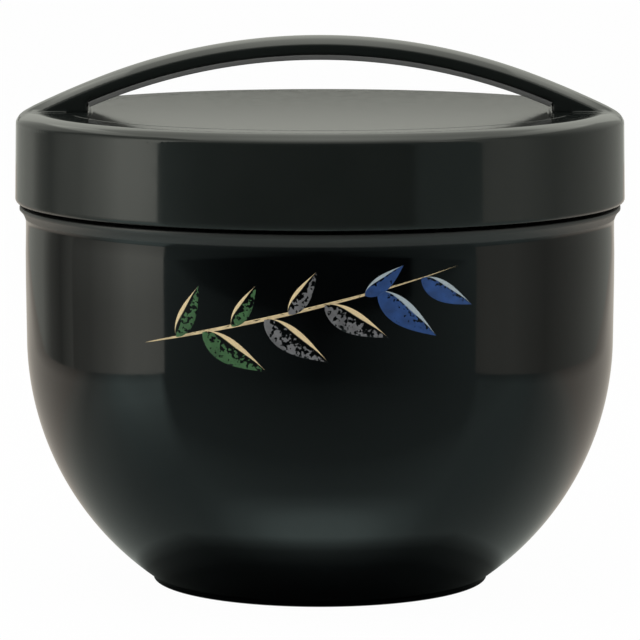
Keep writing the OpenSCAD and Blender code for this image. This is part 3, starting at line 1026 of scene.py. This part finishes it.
def table_brightness(tree, spot):
    """The table as the lacquer shows it: dim in front, paler beside and behind, dark under the bowl."""
    x, y = spot["X"], spot["Y"]
    wide = calc(tree, "ABSOLUTE", x)
    front = levels(
        tree,
        y,
        [
            (FRONT, 0),
            (-0.45, 0.05),
            (-0.236, 0.13),
            (-0.15, 0.18),
            (-0.11, 0.21),
            (-0.087, 0.3),
            (-0.07, 0.35),
        ],
    )
    front = calc(tree, "MULTIPLY_ADD", wide, 0.3, front)
    sides = levels(
        tree,
        y,
        [(-0.13, 0.32), (-0.09, 0.36), (-0.04, 0.3), (0, 0.37), (0.03, 0.48), (0.11, 0.53), (0.43, 0.58)],
    )
    glow = calc(tree, "MULTIPLY", spread(tree, x, 0, 0.4, -0.07, -0.19), spread(tree, y, 0, 1, 0, -0.08))
    to_wall = levels(tree, wide, [(0.27, 1), (0.34, 0.65)])
    sides = calc(tree, "MULTIPLY", calc(tree, "ADD", sides, glow), to_wall)

    # A slanting line on each side parts the dim front from the paler sides
    behind = calc(tree, "MULTIPLY", calc(tree, "ADD", y, 0.061), 0.895)
    line = calc(tree, "MULTIPLY_ADD", calc(tree, "SUBTRACT", wide, 0.036), 0.446, behind)
    past_line = spread(tree, line, 0, 1, -0.006, 0.006)
    even = add(tree, "ShaderNodeMix", {"Factor": past_line, 2: front, 3: sides}).outputs[0]

    # One soft pool of light in front of the foot
    pool_x = calc(tree, "DIVIDE", x, 0.04)
    pool_y = calc(tree, "DIVIDE", calc(tree, "ADD", y, 0.066), 0.018)
    pool = levels(
        tree,
        length(tree, pool_x, pool_y),
        [(0, 0.55), (0.3, 0.5), (0.45, 0.4), (0.67, 0.2), (1, 0.03), (1.2, 0)],
    )

    # The bowl's own shade round its foot
    back = calc(tree, "MAXIMUM", calc(tree, "MULTIPLY_ADD", y, 0.35, 0.0158), 0)
    shade = levels(
        tree,
        calc(tree, "ADD", length(tree, x, y), back),
        [(0.044, 0.02), (0.051, 0.08), (0.054, 0.17), (0.057, 0.25), (0.06, 0.55), (0.063, 1)],
    )
    return calc(tree, "MULTIPLY", calc(tree, "ADD", even, pool), shade)


def ceiling_brightness(tree, spot):
    """A soft box overhead, a little behind the bowl, that fades faster to the front than to the back."""
    along = levels(
        tree,
        spot["Y"],
        [
            (-0.65, 0.15),
            (-0.35, 0.4),
            (-0.17, 0.75),
            (0.05, 1.6),
            (0.25, 1.65),
            (0.45, 1.1),
            (0.62, 0.9),
            (BACK, 0.72),
        ],
    )
    wide = calc(tree, "ABSOLUTE", spot["X"])
    across = levels(tree, wide, [(0, 1), (0.1, 0.95), (0.2, 0.8), (SIDE, 0.8)])
    return calc(tree, "MULTIPLY", along, across)


def panel_light(name, place, aim, width, height, level):
    """A soft box of even brightness. Polished surfaces see the cards in its place."""
    lamp = bpy.data.lights.new(name, "AREA")
    lamp.shape = "RECTANGLE"
    lamp.size, lamp.size_y = width, height
    lamp.energy = level * math.pi * width * height
    holder = bpy.data.objects.new(name, lamp)
    holder.location = place
    holder.rotation_euler = (Vector(aim) - Vector(place)).to_track_quat("-Z", "Y").to_euler()
    holder.visible_camera = holder.visible_glossy = False
    bpy.context.scene.collection.objects.link(holder)


# Places of the cards, in metres, and their tints
CEILING = 0.8
SIDE = 0.35
FRONT = -0.6
BACK = 1.1
LEFT_SPLIT = 0.075
SIDE_FRONT = -0.226
FLOOR_W = 3.0
FLOOR_SINK = 0.0003
TABLE_W = 1.2
TABLE_RISE = 0.0002
WARM = (1.08, 1.0, 0.88, 1)
PALE = (1.0, 1.02, 0.92, 1)
COOL = (0.84, 1.06, 1.02, 1)

# Brightness up a card, from (height, level) stops
EVEN = [(0, 1), (CEILING, 1)]
HIGH_GLOW = [(0, 1), (0.5, 1), (0.57, 2.4), (CEILING, 2.4)]
LOW_DIM = [(0, 0.66), (0.03, 0.68), (0.08, 1), (0.35, 1), (0.5, 0.5), (CEILING, 0.35)]


def level_corners(width, front, back, height):
    """Corners of a level card, counter-clockwise from above."""
    return [(-width, front, height), (width, front, height), (width, back, height), (-width, back, height)]


card("floor", level_corners(FLOOR_W, -FLOOR_W, FLOOR_W, -FLOOR_SINK), floor_finish())
mirrored(
    "table_card",
    level_corners(TABLE_W, FRONT - 0.02, BACK + 0.02, TABLE_RISE),
    table_brightness,
    COOL,
    WARM,
)
mirrored("ceiling_card", level_corners(TABLE_W, FRONT - 0.3, BACK + 0.2, CEILING), ceiling_brightness, PALE)
wall(
    "front_card",
    (-1.3, FRONT),
    (1.3, FRONT),
    COOL,
    "X",
    [
        (-1.1, 0.22),
        (-0.85, 0.15),
        (-0.48, 0.06),
        (-0.26, 0.02),
        (0.38, 0.01),
        (0.41, 0.11),
        (0.45, 0.14),
        (1.1, 0.15),
    ],
    EVEN,
)
wall(
    "left_card",
    (-SIDE, SIDE_FRONT),
    (-SIDE, LEFT_SPLIT),
    PALE,
    "Y",
    [(SIDE_FRONT, 1.6), (-0.165, 1.75), (-0.114, 1.65), (-0.056, 1.0), (0.007, 0.55), (LEFT_SPLIT, 0.36)],
    LOW_DIM,
)
wall(
    "left_back_card",
    (-SIDE, LEFT_SPLIT),
    (-SIDE, BACK),
    PALE,
    "Y",
    [(LEFT_SPLIT, 0.36), (0.134, 0.15), (0.201, 0.22), (0.281, 0.46), (0.4, 0.43), (0.65, 0.4), (BACK, 0.5)],
    HIGH_GLOW,
)
wall(
    "right_card",
    (SIDE, SIDE_FRONT),
    (SIDE, BACK),
    PALE,
    "Y",
    [
        (SIDE_FRONT, 0.4),
        (-0.19, 0.45),
        (-0.111, 0.44),
        (-0.06, 0.33),
        (-0.01, 0.24),
        (0.066, 0.28),
        (0.172, 0.33),
        (0.324, 0.37),
        (BACK, 0.42),
    ],
    HIGH_GLOW,
)
wall(
    "back_card",
    (-SIDE, BACK),
    (SIDE, BACK),
    PALE,
    "Z",
    [
        (0, 0.6),
        (0.155, 0.6),
        (0.17, 0.1),
        (0.186, 0.1),
        (0.214, 0.56),
        (0.24, 0.58),
        (0.5, 0.74),
        (0.65, 0.9),
        (CEILING, 0.82),
    ],
    EVEN,
)
panel_light("left_box", (-0.6, -0.25, 0.35), (0, 0, 0.07), 0.4, 0.6, 1.6)
panel_light("right_box", (0.6, -0.25, 0.35), (0, 0, 0.07), 0.4, 0.6, 0.9)
panel_light("top_box", (0, -0.15, CEILING), (0, 0, 0), 0.7, 0.7, 1.6)

world = bpy.data.worlds.new("studio")
bpy.context.scene.world = world
world.use_nodes = True
sky = world.node_tree
near = add(sky, "ShaderNodeBackground", {"Color": (1, 1, 1, 1), "Strength": 1.0})
fill = add(sky, "ShaderNodeBackground", {"Color": (1, 1, 1, 1), "Strength": 0.5})
mixed = add(sky, "ShaderNodeMixShader", {0: backdrop_share(sky), 1: fill.outputs[0], 2: near.outputs[0]})
sky.links.new(mixed.outputs[0], sky.nodes["World Output"].inputs["Surface"])

camera = bpy.data.objects.new("camera", bpy.data.cameras.new("camera"))
camera.location = (0, -1.00892, 0.19123)
camera.rotation_euler = (Vector((0, 0, 0.06)) - camera.location).to_track_quat("-Z", "Y").to_euler()
camera.data.sensor_width = 36
camera.data.lens = 239.05
camera.data.shift_y = 0.01334
camera.data.clip_end = 20
bpy.context.scene.collection.objects.link(camera)
bpy.context.scene.camera = camera
bpy.context.scene.view_settings.view_transform = "Standard"

bpy.context.view_layer.update()
